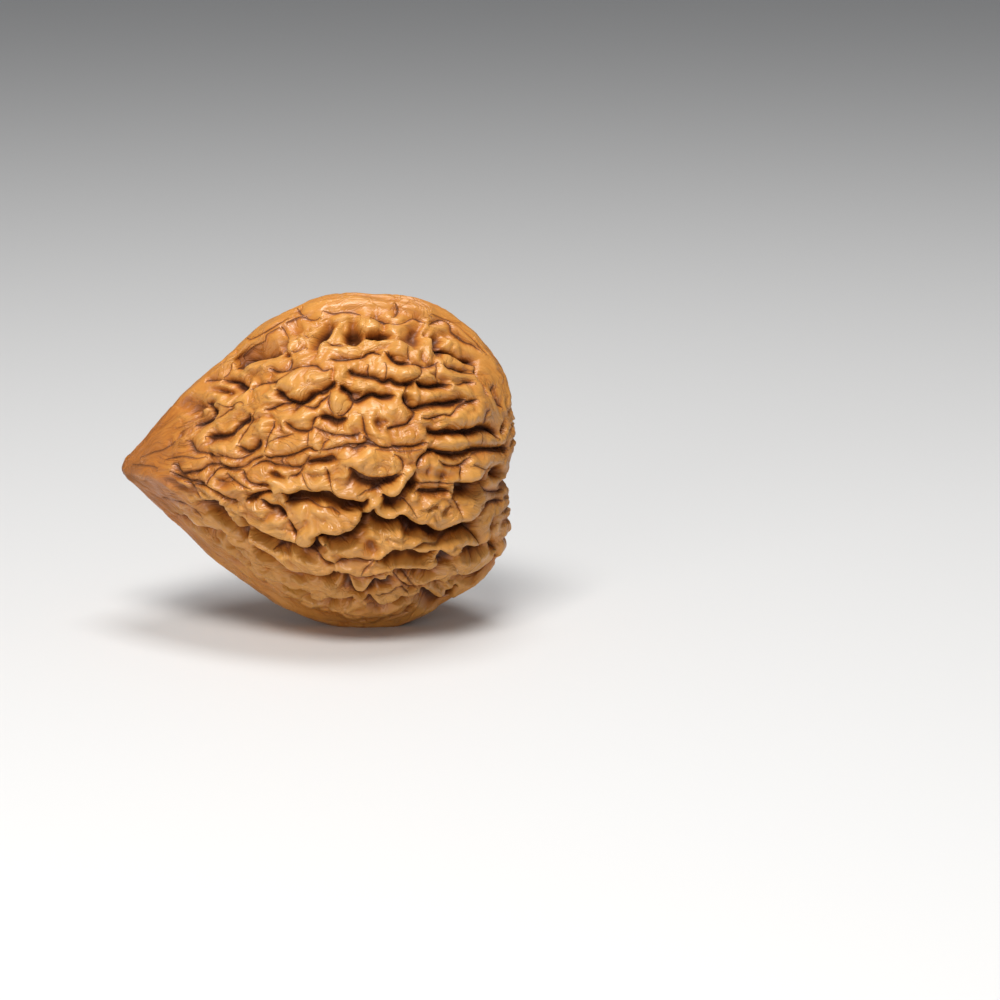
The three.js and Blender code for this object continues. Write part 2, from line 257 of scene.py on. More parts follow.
    ("gap", 1.0, [(-12.6, -5.1), (-12, -5), (-11.3, -4.6), (-10.6, -4.2), (-10, -3.9), (-9.3, -3.9)]),
    ("lip", 1.5, [(-8.3, -4.1), (-7, -4), (-6.2, -3.7), (-5.6, -3.65), (-4.9, -3.8), (-4.2, -3.9),
        (-3.3, -3.75), (-2.3, -3.85), (-1.7, -4.4), (-1.2, -4.65), (-0.4, -4.8), (0.6, -4.9), (1.6, -5),
        (2.3, -4.8)]),
    ("seam", 1.0, [(-8, -5.3), (-6.5, -5.3), (-5.2, -5.2), (-4.4, -5.5), (-3.6, -5.8), (-2.6, -5.9),
        (-1.9, -6.2), (-1.2, -6.6)]),
    ("lip", 1.2, [(4, -4.2), (4.6, -4.5), (5.3, -4.5), (5.9, -4), (6.5, -3.3), (7, -2.6), (7.6, -2),
        (8, -1.5)]),
    ("seam", 0.9, [(8.3, -2.9), (10, -2.75), (11.5, -2.8), (12.8, -2.9)]),
    ("gap", 0.9, [(8.2, -3.8), (10, -3.95), (11, -3.9), (12.2, -3.9)]),
    ("lip", 1.3, [(12.7, -3), (13.2, -2.9), (14.4, -2.9), (15.1, -2.6), (15.8, -2.1), (16.4, -1.5),
        (16.9, -1)]),
    ("seam", 0.9, [(18.6, -3.7), (17.7, -3.9), (16.6, -3.8), (16.2, -3.3)]),
    ("seam", 1.0, [(12.2, -4), (12.7, -4.5), (13.2, -5.3), (13.5, -6), (13.4, -6.8)]),
    ("seam", 1.0, [(6.6, -4.6), (7.3, -5.2), (7.9, -5.9), (8.3, -6.6)]),
    # lower half, ledge under ledge
    ("gap", 0.9, [(-10.9, -5.1), (-10.2, -5.6), (-9.6, -6), (-8.8, -6.1), (-8.2, -6.7), (-7.6, -7.2)]),
    ("seam", 1.0, [(-7.6, -7.2), (-6.9, -8.3), (-6.5, -9.1), (-6.4, -9.9)]),
    ("lip", 1.5, [(-13, -7), (-12, -7.8), (-11.2, -8.3), (-10.3, -8.7), (-9.5, -9.2), (-8.5, -9.8),
        (-7.5, -9.95), (-6.5, -10), (-6, -10.3), (-5.2, -10.5), (-4.6, -10.2), (-4.2, -9.5)]),
    ("lip", 2, [(-4.3, -9.4), (-3.8, -9), (-3.2, -8.9), (-2.5, -9), (-1.8, -9), (-1.2, -8.9),
        (-0.6, -8.7), (0, -8.6), (0.5, -8.2), (1, -7.6), (1.2, -7.1), (1.4, -6.6), (2.3, -6.4), (3, -6)]),
    ("lip", 1.5, [(-12.2, -9.9), (-11.5, -10.2), (-10.9, -10.6), (-10.2, -11), (-9.6, -11.5),
        (-9, -11.9), (-8, -12.6), (-7.2, -13.4), (-6.2, -13.7), (-4.8, -14), (-3.2, -14.1),
        (-2.5, -13.9), (-1.9, -13.5)]),
    ("seam", 1.0, [(-9.2, -10.9), (-8.3, -10.4), (-7.3, -10.4), (-6.3, -10.8), (-5.3, -11.1),
        (-4.3, -11.3), (-3.6, -11.9), (-3, -12.4), (-1.9, -12.6)]),
    ("seam", 1.0, [(-1.9, -12.4), (-1, -12.2), (0, -12.1), (1, -12.1), (2, -12.3), (3.2, -12.1),
        (4, -11.7)]),
    ("lip", 1.1, [(-2, -13.6), (-1.2, -13.7), (-0.4, -13.8), (0.3, -13.95), (1, -14.2), (2, -14.2),
        (3, -14), (3.9, -13.85), (4.8, -13.5)]),
    ("hair", 1.6, [(1.4, -13.8), (1.8, -13.2), (2.3, -12.7), (2.9, -12.2)]),
    ("lip", 1.4, [(-12.4, -12.4), (-11.3, -13.2), (-10, -13.9), (-9, -14.6), (-8, -14.95), (-7, -15.5),
        (-6, -15.9), (-5, -16.3), (-4.4, -16.8), (-3.4, -16.9), (-2.6, -16.8), (-1.2, -16.9),
        (0.2, -16.9), (1.2, -17.2)]),
    ("lip", 1, [(1, -17.2), (1.8, -17), (2.5, -16.7), (3.4, -17.2), (4.5, -17.5), (5.3, -17.2),
        (6.1, -16.6), (7.3, -16.5), (8.2, -16)]),
    ("lip", 1.1, [(-0.8, -13.9), (-0.3, -14.5), (0.1, -15.1), (0.4, -15.7), (1, -16.1), (1.7, -16),
        (2.3, -15.5), (2.9, -14.95), (3.6, -14.9), (4.3, -15), (4.6, -14.5), (4.9, -14)]),
    ("lip", 2, [(3, -6.2), (3.5, -6.8), (4.1, -7.1), (4.8, -7.2), (5.4, -7.1), (5.9, -6.7), (6.5, -6.6),
        (7.2, -6.9), (8, -7.5), (8.7, -7.7), (9.6, -7.7), (10.5, -8.3), (11.2, -8.5), (11.9, -8.2),
        (13, -7.6), (14.3, -7.35), (15.1, -7), (15.8, -6.4)]),
    ("seam", 1.0, [(15.6, -6.9), (16.2, -6.2), (16.6, -5.6), (17.3, -5.2), (18.4, -5)]),
    ("gap", 0.9, [(6.3, -11), (7, -10.7), (8, -10.5), (9, -10.3), (10, -10.2), (11, -10), (11.8, -9.6),
        (12.6, -9), (13.8, -8.6), (14.6, -8.2), (15.3, -7.7)]),
    ("lip", 1.5, [(3.2, -12.4), (4, -11.8), (4.9, -11.3), (5.6, -11), (6.5, -11.3), (7.2, -11.1),
        (7.9, -11.1), (8.9, -11.5), (9.9, -11.1), (11, -10.9)]),
    ("lip", 1.4, [(11.1, -11), (11.8, -11.4), (12.4, -11.7), (13, -11.5), (13.4, -10.9), (14.2, -10.5),
        (15.2, -10.6), (16, -10.4), (16.6, -9.8), (17.1, -9.1)]),
    ("lip", 1.2, [(5.2, -13.3), (6.2, -13.2), (7.2, -13.35), (8.4, -13.3), (9.6, -13.5), (10.4, -13.4),
        (10.8, -12.9), (10.6, -12.2)]),
    ("seam", 0.9, [(5.2, -13.6), (5.7, -14.3), (6.4, -15), (7.2, -15.4), (8.2, -15.6)]),
    ("hair", 1.6, [(6.5, -13.6), (7.2, -14.3), (7.7, -14.9), (8.2, -15.5)]),
    ("lip", 1.1, [(8.4, -15.35), (9, -15.2), (9.7, -14.9), (10.5, -14.7), (11.5, -14.8), (12, -14.5),
        (12.6, -14.1), (13.5, -14.1), (14.3, -13.9), (15.3, -13.4), (16.1, -12.7), (16.9, -12.2),
        (17.4, -11.4)]),
    ("lip", 1, [(8.5, -16), (9.2, -15.8), (9.8, -16.2), (10.5, -16.4), (11.2, -16), (12, -15.5),
        (12.9, -15.2)]),
    ("hair", 1.6, [(3.2, -16.3), (4.4, -16.3), (5.5, -15.8), (6.2, -15.5), (7.2, -15.9)]),
    ("gap", 0.9, [(15.4, -7.4), (15.2, -8.2), (15.6, -9), (16, -9.8), (15.6, -10.4)]),
    ("gap", 1.0, [(17.4, -7), (17.5, -8), (17.2, -8.9), (17.3, -9.8), (17.6, -10.8)]),
    ("lip", 1.2, [(-20.6, -6.6), (-19.6, -6.8), (-18.8, -7.3), (-18.1, -7.9), (-17, -8.2),
        (-15.8, -8.6), (-15.1, -8.8), (-14.6, -9.7), (-13.9, -10.4), (-13.4, -11.2), (-12.7, -11.9),
        (-11.6, -12.7)]),
    ("hair", 1.0, [(-22.4, -4.6), (-20.8, -5), (-19.6, -5.4), (-18.6, -6.2), (-17.6, -6.9)]),
    ("hair", 0.8, [(-24.8, 0.2), (-23.5, 0.8), (-22.4, 1.1), (-21.6, 1.6), (-20.9, 2.1)]),
    ("hair", 0.8, [(-22, 0), (-21, 0.3), (-19.8, 0.5), (-19, 0.4), (-18.2, 0.3), (-17.3, 0.6)]),
    ("hair", 0.8, [(-25.8, -0.6), (-24.8, -0.7), (-23.6, -0.8), (-22.8, -1.1)]),
    ("gap", 0.9, [(-15.3, 9.6), (-14.5, 9.6), (-13.8, 9.4), (-13.3, 8.9), (-12.8, 8.6), (-12.3, 8.45)]),
    ("seam", 0.7, [(-17.2, 9.3), (-16.2, 9.5), (-15.2, 9.6)]),
    ("seam", 0.7, [(-15.2, 9.8), (-14.8, 10.2), (-14.4, 10.8), (-14.1, 11.5)]),
    ("hair", 1.0, [(-16, 6.8), (-15, 6.4), (-14.2, 6.6), (-13.2, 6.9), (-12.8, 6.5)]),
    ("seam", 0.7, [(-16.4, 4.9), (-15.6, 5.4), (-14.8, 6), (-13.8, 6.4)]),
]

# Folds of the stem end: height, half width, depth
stemFolds = [
    (-1.0, 0.9, 1.9), (3.3, 0.4, 0.6), (5.1, 0.35, 0.5), (7.2, 0.35, 0.4), (-3.4, 0.35, 0.6),
    (-5.4, 0.35, 0.7), (-7.1, 0.35, 0.6), (-9.2, 0.4, 0.7), (-11.2, 0.4, 0.5),
]

# Hollows: right, up, half length, half width, turn in degrees, depth
hollows = [
    (-11.2, 13, 2.6, 0.8, 25, 1.0),
    (-3.6, 14.9, 1.75, 0.85, 50, 3.0),
    (0.3, 15.2, 1.55, 1.15, 80, 3.6),
    (3.2, 15.0, 1.45, 0.65, 0, 3.0),
    (8.2, 14.9, 1.8, 1.6, 80, 2.4),
    (10.8, 14.2, 1.9, 1.0, 62, 2.0),
    (-6.3, 15.5, 1.5, 1.1, 0, 0.6),
    (-15.6, 8.3, 1.5, 0.5, -3, 1.6),
    (-18.3, 6.0, 1.9, 1.1, -12, 1.3),
    (-14.8, 4.4, 1.9, 0.8, 35, 1.3),
    (-7.9, 12.6, 0.65, 0.4, 0, 1.3),
    (-2.2, 10.0, 0.9, 0.35, 80, 1.4),
    (0.7, 7.7, 0.7, 0.6, 60, 2.0),
    (7.5, 6.9, 1.0, 0.6, -65, 2.0),
    (12.3, 7.2, 1.2, 0.5, 10, 1.3),
    (-1.9, 4.95, 1.1, 0.35, -12, 1.6),
    (4.1, 4.4, 0.9, 0.45, 0, 1.1),
    (-2.9, -0.35, 1.6, 0.5, 5, 2.0),
    (-9.1, -1.8, 0.9, 0.45, -15, 1.8),
    (-10.6, -2.95, 1.3, 0.45, -5, 1.8),
    (-15.3, -2.8, 1.6, 1.1, -40, 1.3),
    (-20.6, -3.4, 2.0, 0.8, -25, 1.3),
    (-4.3, -4.5, 2.6, 0.6, -2, 2.4),
    (-0.1, -5.4, 1.6, 0.45, -6, 2.0),
    (10.5, -1.7, 2.2, 0.8, -8, 1.3),
    (7.8, -3.3, 0.9, 0.8, 45, 2.0),
    (13.9, -3.6, 1.4, 0.5, 0, 2.2),
    (4.2, -7.9, 1.1, 0.5, -45, 2.2),
    (6.9, -8.4, 1.6, 0.65, -65, 2.8),
    (-2, -9.9, 2.0, 0.7, 5, 1.6),
    (2.5, -10.5, 1.3, 1.0, -30, 1.6),
    (-16.2, -6.7, 2.6, 1.2, -35, 2.6),
    (-10, -6.5, 1.8, 0.4, -3, 0.7),
    (12.1, -12.4, 1.4, 0.6, -60, 1.6),
    (6.5, -12.1, 2.8, 0.6, 0, 1.6),
    (18.6, 3.9, 0.9, 0.5, 90, 1.6),
    (17.8, -1.7, 1.6, 0.8, 0, 2.4),
]

# Swells: right, up, half length, half width, turn in degrees, height
swells = [
    (-5.5, 12.2, 2.1, 1.2, -10, 0.3),
    (-5.4, 9.2, 3.3, 1.7, 12, 0.8),
    (-1.1, 7.1, 1.3, 1.25, 0, 1.1),
    (-0.4, 16.0, 0.9, 0.3, 75, 0.7),
    (1.3, 16.0, 0.9, 0.3, 105, 0.7),
    (8.9, 15.3, 1.3, 0.35, 70, 0.8),
    (4.9, 5.8, 3.0, 1.1, -8, 0.5),
    (3.1, -0.2, 3.0, 1.5, -5, 0.7),
    (-7.6, 1.8, 2.4, 1.1, 12, 0.4),
    (-5.3, -9.1, 0.9, 1.2, 0, 0.6),
    (5.9, 13.2, 0.9, 1.3, -10, 1.0),
    (6.5, 10.3, 2.0, 0.8, 0, 0.5),
    (2.2, 9.1, 2.6, 0.8, 0, 0.4),
    (9.6, 7.9, 2.6, 0.8, 0, 0.4),
    (13.4, 4.9, 3.2, 1.2, 15, 0.5),
    (12.9, 2.1, 3.0, 1.0, 0, 0.4),
    (15, -1.3, 1.2, 1.2, 0, 0.6),
    (5.4, -3.2, 2.2, 0.8, 45, 0.6),
    (0.3, -2.8, 1.8, 1.1, -10, 0.5),
    (-2, -7, 2.8, 1.2, -25, 0.5),
    (-10, -7.8, 2.2, 1.1, -18, 0.5),
    (-5.5, -12.3, 3.0, 1.2, -22, 0.5),
    (5.2, -9.5, 1.8, 1.0, -35, 0.4),
    (9.8, -9.2, 1.9, 0.8, -10, 0.4),
    (10.6, -6, 2.6, 1.6, -10, 0.4),
    (-0.9, 10.2, 0.5, 1.2, 0, 0.4),
]

wrinkles = {  # the fine folds, which run from tip to stem
    "seed": 1, "homeSpread": 7.3,  # makes each pad's height differ from its neighbours'
    "axisHeight": -0.9, "girth": 14, "stemRadius": 12, "narrowFrom": (0, 10),
    "padLength": 4.6, "padWidth": 1.7, "padCrease": 0.35, "padEdge": 0.2, "padStep": 0.16,
    "warp": 2.2, "warpSize": 5.0, "ripple": 0.7, "rippleSize": 1.5,
    "crumples": [(3.6, 2.0, -0.5), (1.7, 1.7, -0.22), (2.4, 0.9, 0.16)],  # length, width, height
    "dentSize": 3.0, "dent": 0.22,
    "ringLength": 8, "ringAlong": 1.2, "ringWidth": 0.9, "rings": 0.2,  # round the rim
    "rayLength": 9, "rayWidth": 3.6, "rays": 0.14,    # from the tip
    "creaseAtFold": 0.35, "fineAtFold": 0.45, "fineOffShell": 0.12,  # shares that are left there
}


def flowPlace(points, length, width):  # lengthwise and around, so that cells run from tip to stem
    height = points[:, 2] - wrinkles["axisHeight"]
    around = np.arctan2(height, points[:, 1])
    offAxis = np.hypot(height, points[:, 1]) / wrinkles["stemRadius"]
    narrowing = np.where(offAxis < 1, offAxis * (2 - offAxis), 1)  # cells keep their size at the stem end
    stemShare = smoothStep(points[:, 0], *wrinkles["narrowFrom"])
    girth = wrinkles["girth"] * (1 - stemShare + stemShare * narrowing)
    aside, up = np.cos(around) * girth / width, np.sin(around) * girth / width
    return np.stack([points[:, 0] / length, aside, up], 1)


def noiseAt(places):
    return np.array([noise.noise(place) for place in places])


def crests(places):  # 1 along the lines where the noise is 0
    return 1 - 3 * np.abs(noiseAt(places))


def atLeast(least, share):  # share drawn together to run from least to 1
    return least + (1 - least) * share


class Wrinkles:  # thin creases round the pads, steps between pads, and the grain on them
    def __init__(self, points):
        warp = np.array([noise.noise_vector(place) for place in points / wrinkles["warpSize"]])
        ripple = np.array([noise.noise_vector(place) for place in points / wrinkles["rippleSize"]])
        self.flow = points + warp * wrinkles["warp"] + ripple * wrinkles["ripple"]
        cells = flowPlace(self.flow, wrinkles["padLength"], wrinkles["padWidth"])
        homes = np.empty((len(points), 2, 3))
        step = np.empty(len(points))
        for row, place in enumerate(cells):
            nearest = noise.voronoi(place)[1]
            homes[row] = nearest[0], nearest[1]
            step[row] = noise.cell(nearest[0] * wrinkles["homeSpread"])
        away = np.linalg.norm(cells[:, None, :] - homes, axis=-1)
        edge = (away[:, 1] - away[:, 0]) * wrinkles["padWidth"]
        self.crease = wrinkles["padCrease"] * np.exp(-edge / wrinkles["padEdge"])
        self.tops = wrinkles["padStep"] * step
        self.fine = wrinkles["dent"] * noiseAt(points / wrinkles["dentSize"])
        for length, width, height in wrinkles["crumples"]:
            self.fine += height * crests(flowPlace(self.flow, length, width))


sculpt = {
    "push": (0.6, 1, 0.35),  # folds sink towards the suture plane more than along the shell's normal
    "bow": 0.06,         # rounding at the bottom of every fold
    "crown": 0.3,        # share of a fold's depth spread over the whole pad
    "crownReach": 1.3,
    "join": 3.0,         # how softly folds meet
    "lipReach": 1.3, "lipPush": 1.6,  # how far behind a lip the shell leans, and how much
    "rollAt": 0.6, "rollReach": 0.7,  # the roll along the upper side of a fold
    "backShift": 0.35, "backWaves": (0.9, 0.7),  # how much the back differs from the front, turned over
    "hollowRounds": 110,  # how wide around itself a point looks to tell whether it lies in a hollow
    "shade": 0.5,        # painted shadow under a ledge, told as extra depth
    "uneven": 0.5, "unevenSize": 2.4,  # how far hollows are from true ellipses
    "farAway": 9.0,
    "faceReach": 0.25,   # a face with no corner this near to a line lies on one side of it
    "stemReach": 4.0,    # how far the folds of the stem end run on over the rim
    "stemWave": 0.5, "stemBend": 0.12,
    "lineReach": 2.6, "spotReach": 2.2,   # nothing further off is moved by a fold or a spot
    "turnedAway": (-0.2, 0.1),            # where folds fade out as the shell turns from them
    "endLength": 0.9, "endShare": 0.25,   # a fold's last stretch and the depth left at its end
    "endClear": 0.3, "leastWidth": 0.02,  # wrinkles come nearer to it there, and its line thins out
    "hollowPower": 2.4, "swellPower": 2.0,  # a higher power gives steeper sides
    "shellFoot": (2.2, 4.5), "stemShell": (14, 18.5), "stemShare": 0.8,  # where rim turns into shell
    "smoothTip": (4, 11),
    "besideFold": (0.3, 1.2),             # fine wrinkles keep clear of the drawn folds
    "calmFrom": (13, 17.5), "calm": 0.65,  # the stem end is smoother
    "stemFoldsFrom": (12, 16),
}


def onBlank(rights, ups):  # where lines from the eye through the board first meet the blank
    board = np.outer(rights, boardRight) + np.outer(np.array(ups) + eye["boardDrop"], boardUp)
    eyePlace = towardsEye * eye["distance"]
    inner = board - (eyePlace - board) * eye["behindBoard"]
    outer = board + (eyePlace - board) * eye["beforeBoard"]
    return meetBlank(inner, outer)


def smoothLine(points, steps=4):  # a curve through the points
    padded = [points[0], *points, points[-1]]
    line = []
    for a, b, c, d in zip(padded, padded[1:], padded[2:], padded[3:]):
        a, b, c, d = map(np.array, (a, b, c, d))
        for t in np.arange(steps) / steps:
            line.append(0.5 * (2 * b + (c - a) * t + (2 * a - 5 * b + 4 * c - d) * t ** 2
                               + (3 * b - a - 3 * c + d) * t ** 3))
    return np.array([*line, points[-1]], float)


def nearestOnLine(points, line):  # distance, unit offset, tangent and share of the way along
    start, step = line[:-1], line[1:] - line[:-1]
    length = np.maximum(np.linalg.norm(step, axis=1), 1e-6)
    away = points[:, None, :] - start[None]
    along = np.clip((away * step).sum(2) / length ** 2, 0, 1)
    offset = away - along[..., None] * step
    distance = np.linalg.norm(offset, axis=2)
    best = distance.argmin(1)
    row = np.arange(len(points))
    before = np.concatenate([[0], np.cumsum(length)])
    share = (before[best] + along[row, best] * length[best]) / before[-1]
    return distance[row, best], offset[row, best], (step / length[:, None])[best], share


class Relief:  # what the folds do to every point of the blank
    def __init__(self, points, normals, corners):
        self.points, self.normals, self.corners = points, normals, corners
        self.push = normals * sculpt["push"]
        self.push /= np.linalg.norm(self.push, axis=1)[:, None]
        self.uneven = 1 + sculpt["uneven"] * noiseAt(points / sculpt["unevenSize"])
        # distance to the nearest fold at each face's corners, in half widths of its line, below it negative
        self.creases = np.full(corners.shape, sculpt["farAway"])
        self.closest = np.full(len(corners), sculpt["farAway"])
        self.depthPower = np.zeros(len(points))
        self.rise = np.zeros(len(points))
        self.lean = np.zeros((len(points), 3))
        self.away = np.full(len(points), sculpt["farAway"])
        self.shade = np.zeros(len(points))

    def near(self, centre, reach, facing):
        close = (np.abs(self.points - centre) < reach).all(1)
        return np.flatnonzero(close & (self.normals @ facing > sculpt["turnedAway"][0]))

    def turnedTo(self, index, facing):
        return smoothStep(self.normals[index] @ facing, *sculpt["turnedAway"])

    def sink(self, index, depth):
        self.depthPower[index] += np.maximum(depth, 0) ** sculpt["join"]

    def fold(self, kind, strength, line, facing):
        low, high = line.min(0), line.max(0)
        reach = sculpt["lineReach"] + (high - low) / 2
        index = self.near((low + high) / 2, reach, facing)
        if not len(index):
            return
        distance, offset, tangent, share = nearestOnLine(self.points[index], line)
        side = np.cross(self.normals[index], tangent)
        above = (offset * side).sum(1) > 0
        length = np.linalg.norm(np.diff(line, axis=0), axis=1).sum()
        inside = np.clip(np.minimum(share, 1 - share) * length / sculpt["endLength"], 0, 1)
        endShare = sculpt["endShare"]
        taper = (endShare + (1 - endShare) * inside * (2 - inside)) * self.turnedTo(index, facing)
        reachHere = np.where(above, kind["above"], kind["below"])
        bowed = np.sqrt(distance ** 2 + sculpt["bow"] ** 2) - sculpt["bow"]
        sharp = np.exp(-bowed / reachHere)
        broad = np.exp(-(distance / sculpt["crownReach"]) ** 2)
        fall = (1 - sculpt["crown"]) * sharp + sculpt["crown"] * broad
        if kind["slope"]:
            ledge = np.clip((kind["slope"] - distance) / (kind["slope"] - kind["below"]), 0, 1)
            fall = np.where(above, fall, np.maximum(fall, ledge * inside))
            # painted shadow below each ledge line, strongest just under it
            ledgeShadow = np.where(above, 0, ledge ** 2 * strength * taper)
            self.shade[index] = np.maximum(self.shade[index], ledgeShadow)
        self.sink(index, kind["depth"] * strength * taper * fall)
        if kind["lean"]:
            lip = (1 - np.exp(-distance / kind["above"])) * np.exp(-distance / sculpt["lipReach"])
            push = np.where(above, kind["lean"] * strength * taper * lip * sculpt["lipPush"], 0)
            self.lean[index] -= side * push[:, None]
        if kind["swell"]:
            roll = np.exp(-((distance - sculpt["rollAt"]) / sculpt["rollReach"]) ** 2)
            self.rise[index] += np.where(above, kind["swell"] * strength * taper * roll, 0)
        self.away[index] = np.minimum(self.away[index], distance + (1 - taper) * sculpt["endClear"])
        beside = (share > 0) & (share < 1)
        signed = np.full(len(self.points), np.nan)
        signed[index] = np.where(above | ~beside, distance, -distance)
        width = np.ones(len(self.points))
        width[index] = kind["line"] * strength * np.maximum(taper, sculpt["leastWidth"])
        self.draw(signed[self.corners], width[self.corners])

    def draw(self, signed, width):  # each face keeps the line that is nearest to it
        away = np.abs(signed).mean(1)
        missed = np.abs(signed).min(1) > sculpt["faceReach"]  # these faces lie wholly on one side
        signed[missed] = (np.sign(signed.mean(1))[:, None] * np.abs(signed))[missed]
        nearer = np.flatnonzero(away < self.closest)
        self.closest[nearer] = away[nearer]
        self.creases[nearer] = signed[nearer] / width[nearer]

    def ellipse(self, centre, longAxis, shortAxis, index):
        offset = self.points[index] - centre
        return np.hypot(offset @ longAxis, offset @ shortAxis)

    def spot(self, spot, turnOver, facing):
        right, up, half, halfWidth, turn, height, power = spot
        centre = onBlank([right], [up])[0] * turnOver
        index = self.near(centre, max(half, halfWidth) * sculpt["spotReach"], facing)
        angle = math.radians(turn)
        longWay = (math.cos(angle) * boardRight + math.sin(angle) * boardUp) * turnOver
        wideWay = (math.cos(angle) * boardUp - math.sin(angle) * boardRight) * turnOver
        normal = self.normals[index[np.linalg.norm(self.points[index] - centre, axis=1).argmin()]]
        longWay = longWay - normal * (longWay @ normal)
        wideWay = wideWay - normal * (wideWay @ normal)
        longWay /= np.linalg.norm(longWay)
        wideWay /= np.linalg.norm(wideWay)
        ring = self.ellipse(centre, longWay / half, wideWay / halfWidth, index) * self.uneven[index]
        return index, height * np.exp(-(ring ** power)) * self.turnedTo(index, facing)

    def depth(self):
        return self.depthPower ** (1 / sculpt["join"])


def nutPoints():  # a cube divided evenly, its points thrown out onto the blank
    form = bmesh.new()
    bmesh.ops.create_cube(form, size=2)
    bmesh.ops.subdivide_edges(form, edges=form.edges[:], cuts=blank["cuts"], use_grid_fill=True)
    bmesh.ops.recalc_face_normals(form, faces=form.faces[:])
    mesh = bpy.data.meshes.new("walnut_shell")
    form.to_mesh(mesh)
    form.free()
    cube = np.empty(len(mesh.vertices) * 3)
    mesh.vertices.foreach_get("co", cube)
    cube = cube.reshape(-1, 3)
    cube[:, 1] = np.sign(cube[:, 1]) * np.abs(cube[:, 1]) ** blank["rimCrowding"]
    direction = np.tan(cube * math.pi / 4)
    direction /= np.linalg.norm(direction, axis=1)[:, None]
    near, far = blank["search"]
    return mesh, meetBlank(direction * near, direction * far)


def setPoints(mesh, points):
    mesh.vertices.foreach_set("co", np.ravel(points))
    mesh.update()


def meshNormals(mesh):
    normals = np.empty(len(mesh.vertices) * 3)
    mesh.vertex_normals.foreach_get("vector", normals)
    return normals.reshape(-1, 3)


def smoothed(values, edges, rounds):  # each vertex drawn towards its neighbours, again and again
    ends = np.concatenate([edges[:, 0], edges[:, 1]])
    others = np.concatenate([edges[:, 1], edges[:, 0]])
    count = np.bincount(ends, minlength=len(values))
    for _ in range(rounds):
        values = 0.5 * values + 0.5 * np.bincount(ends, values[others], len(values)) / count
    return values


def keep(mesh, name, kind, domain, values):  # values that the material reads
    data = mesh.attributes.new(name, kind, domain).data
    data.foreach_set("vector" if kind == "FLOAT_VECTOR" else "value", np.ravel(values))


